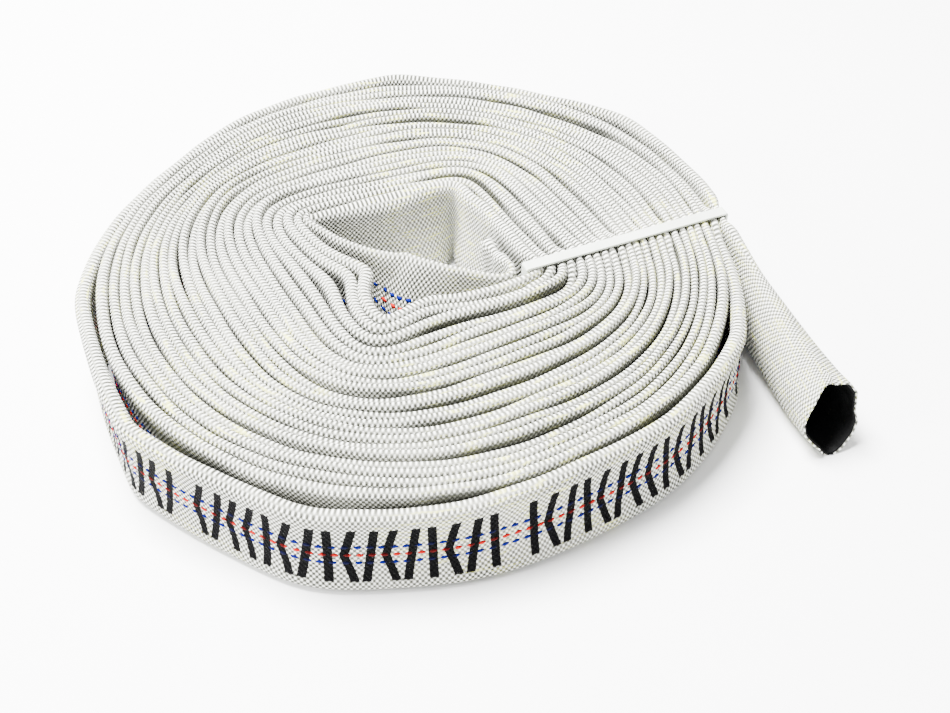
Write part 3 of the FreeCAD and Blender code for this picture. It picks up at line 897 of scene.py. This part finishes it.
def jacket_material():
    """White polyester weave with painted shade in its gaps and between the wound turns, spots of
    grime, print, and the relief of its yarns.
    """
    nodes = Nodes("jacket_weave")
    place, u, v = nodes.weave_place()
    across = nodes.object_place()
    drift = nodes.math("MULTIPLY", nodes.math("SUBTRACT", nodes.noise(across, 90.0), 0.5), 0.0012)
    u_soft = nodes.math("ADD", u, drift)
    knuckles = nodes.math("COSINE", nodes.math("MULTIPLY", u_soft, TAU / KNUCKLE_PITCH))
    rows = nodes.math("COSINE", nodes.math("MULTIPLY", v, math.pi / ROW_PITCH))
    weave = nodes.math("MULTIPLY", knuckles, rows)

    # Cloth colour with painted shade in the grooves between turns, and grime spots.
    colour = groove_shade_and_grime(nodes, cloth_colour(nodes, weave, place, across), u, v, across)
    worn = nodes.fade(nodes.noise(across, 500.0, 2.0), 0.22, 0.36, 0.965, 1.0)
    ink = nodes.math("MULTIPLY", ink_share(nodes, u, v), worn)
    nodes.put(nodes.shader.inputs["Base Color"], nodes.mix(ink, colour, INK))
    rough = nodes.fade(nodes.noise(across, 400.0), 0.3, 0.7, 0.74, 0.90)
    nodes.put(nodes.shader.inputs["Roughness"], rough)
    nodes.shader.inputs["Specular IOR Level"].default_value = 0.03

    stretched = nodes.node("ShaderNodeMapping", Vector=place, Scale=(900.0, 5000.0, 1.0))
    fibres = nodes.math("MULTIPLY", nodes.noise(stretched, 1.0, 2.0), 0.35)
    slack = nodes.bumped(nodes.noise(across, 60.0, 2.0), 0.0012, 0.5)
    relief = nodes.bumped(nodes.math("ADD", weave, fibres), 0.00055, 1.0, slack)
    nodes.put(nodes.shader.inputs["Normal"], relief)
    return nodes.material


def lining_material():
    """Matt black rubber."""
    nodes = Nodes("lining_rubber")
    place = nodes.object_place()
    mottle = nodes.noise(place, 120.0, 4.0)
    nodes.put(nodes.shader.inputs["Base Color"], nodes.mix(mottle, *RUBBER))
    nodes.put(nodes.shader.inputs["Roughness"], nodes.fade(mottle, 0.3, 0.7, 0.55, 0.75))
    nodes.shader.inputs["Specular IOR Level"].default_value = 0.10
    nodes.put(nodes.shader.inputs["Normal"], nodes.bumped(nodes.noise(place, 700.0), 0.0003))
    return nodes.material


def yarn_material(name, dark, light):
    """Coloured yarn that the printed marks run over."""
    nodes = Nodes(name)
    place, u, v = nodes.weave_place()
    stretched = nodes.node("ShaderNodeMapping", Vector=place, Scale=(700.0, 6000.0, 1.0))
    strand = nodes.noise(stretched, 1.0, 2.0)
    colour = nodes.mix(strand, dark, light)
    ink = nodes.math("MULTIPLY", ink_share(nodes, u, v), 0.85)
    nodes.put(nodes.shader.inputs["Base Color"], nodes.mix(ink, colour, INK))
    nodes.shader.inputs["Roughness"].default_value = 0.8
    nodes.shader.inputs["Specular IOR Level"].default_value = 0.05
    nodes.put(nodes.shader.inputs["Normal"], nodes.bumped(strand, 0.0002))
    return nodes.material


def tie_material():
    """Milky nylon that lets a little light in."""
    nodes = Nodes("tie_nylon")
    place = nodes.object_place()
    cloud = nodes.noise(place, 45.0, 3.0)
    nodes.put(nodes.shader.inputs["Base Color"], nodes.mix(cloud, *NYLON))
    nodes.put(nodes.shader.inputs["Roughness"], nodes.fade(cloud, 0.3, 0.7, 0.30, 0.45))
    nodes.shader.inputs["Subsurface Weight"].default_value = 0.35
    nodes.shader.inputs["Subsurface Radius"].default_value = (1.0, 1.0, 0.9)
    nodes.shader.inputs["Subsurface Scale"].default_value = 0.002
    nodes.put(nodes.shader.inputs["Normal"], nodes.bumped(nodes.noise(place, 350.0), 0.0002, 0.5))
    return nodes.material


def wear(item, material):
    """Gives the item this material alone."""
    item.data.materials.clear()
    item.data.materials.append(material)


# ---------------------------------------------------------------- studio

FLOOR_HALF = 6.0
SKY_STRENGTH = 1.15

# Square lights: name, place, the point they face, side and power in watts.
LIGHTS = (("key", (-0.55, 0.40, 1.85), (0.0, 0.0, 0.0), 1.0, 470.0),
          ("side", (-1.8, -0.6, 0.9), (0.0, 0.0, 0.03), 0.7, 75.0))

# Camera: place, tilt up from straight down in degrees, focal length and sensor width in mm.
CAMERA_PLACE = (0.0379, -0.6460, 0.6004)
CAMERA_TILT = 45.81
CAMERA_LENS = 49.26
CAMERA_SENSOR = 36.0


def make_floor():
    corners = np.array([(x * FLOOR_HALF, y * FLOOR_HALF, 0.0)
                        for x, y in ((-1, -1), (1, -1), (1, 1), (-1, 1))])
    floor = make_object("studio_floor", corners, [(0, 1, 2, 3)], smooth=False)
    nodes = Nodes("studio_floor")
    nodes.shader.inputs["Base Color"].default_value = FLOOR_GREY
    nodes.shader.inputs["Roughness"].default_value = 0.9
    wear(floor, nodes.material)


def make_light(name, place, target, size, power):
    """Square area light that faces the target."""
    data = bpy.data.lights.new(name, "AREA")
    data.shape = "SQUARE"
    data.size = size
    data.energy = power
    light = bpy.data.objects.new(name, data)
    bpy.context.scene.collection.objects.link(light)
    light.location = place
    direction = np.array(target) - np.array(place)
    flat = math.hypot(direction[0], direction[1])
    light.rotation_euler = (math.atan2(flat, -direction[2]), 0.0,
                            math.atan2(direction[1], direction[0]) - math.pi / 2.0)


def make_studio():
    make_floor()
    world = bpy.data.worlds.new("studio")
    bpy.context.scene.world = world
    world.use_nodes = True
    sky = world.node_tree.nodes["Background"]
    sky.inputs["Color"].default_value = (1.0, 1.0, 1.0, 1.0)
    sky.inputs["Strength"].default_value = SKY_STRENGTH
    for settings in LIGHTS:
        make_light(*settings)


def make_camera():
    """Camera at the photo's viewing angle."""
    data = bpy.data.cameras.new("camera")
    data.sensor_width = CAMERA_SENSOR
    data.lens = CAMERA_LENS
    camera = bpy.data.objects.new("camera", data)
    bpy.context.scene.collection.objects.link(camera)
    camera.location = CAMERA_PLACE
    camera.rotation_euler = (math.radians(CAMERA_TILT), 0.0, 0.0)
    bpy.context.scene.camera = camera


# ---------------------------------------------------------------- assembly

# The three rows of tracer yarn: name, steps up from the middle row, slot and colours.
TRACERS = (("tracer_blue_upper", 1, "tracer_blue", BLUE),
           ("tracer_red", 0, "tracer_red", RED),
           ("tracer_blue_lower", -1, "tracer_blue", BLUE))


def follow_free_end(item):
    """Bakes the piece's placement into its mesh; the seam's point is worked out but not used."""
    seam = spiral_point(0.0)
    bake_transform(item)


def main():
    make_camera()
    make_studio()
    join = tie_crossing(1.0)
    jacket = jacket_material()

    outer_turn, outer_along = make_outer_turn(join)
    wear(outer_turn, jacket)
    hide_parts("jacket_free_end")

    wound = make_wound(join)
    wear(wound, jacket)
    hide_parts("jacket_roll", "lining_roll")
    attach(wound, "wound_roll")

    lining = make_lining()
    wear(lining, lining_material())
    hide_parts("lining_free_end")
    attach(lining, "free_end")

    follow_free_end(outer_turn)
    for name, steps_up, slot, colours in TRACERS:
        stitches, stitches_along = make_stitches(name, steps_up)
        wear(stitches, yarn_material(f"{name}_yarn", *colours))
        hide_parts(f"{name}_roll", f"{name}_free_end")
        follow_free_end(stitches)

    nylon = tie_material()
    for name in ("tie_strap", "tie_head", "tie_pawl"):
        wear(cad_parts[name], nylon)


main()
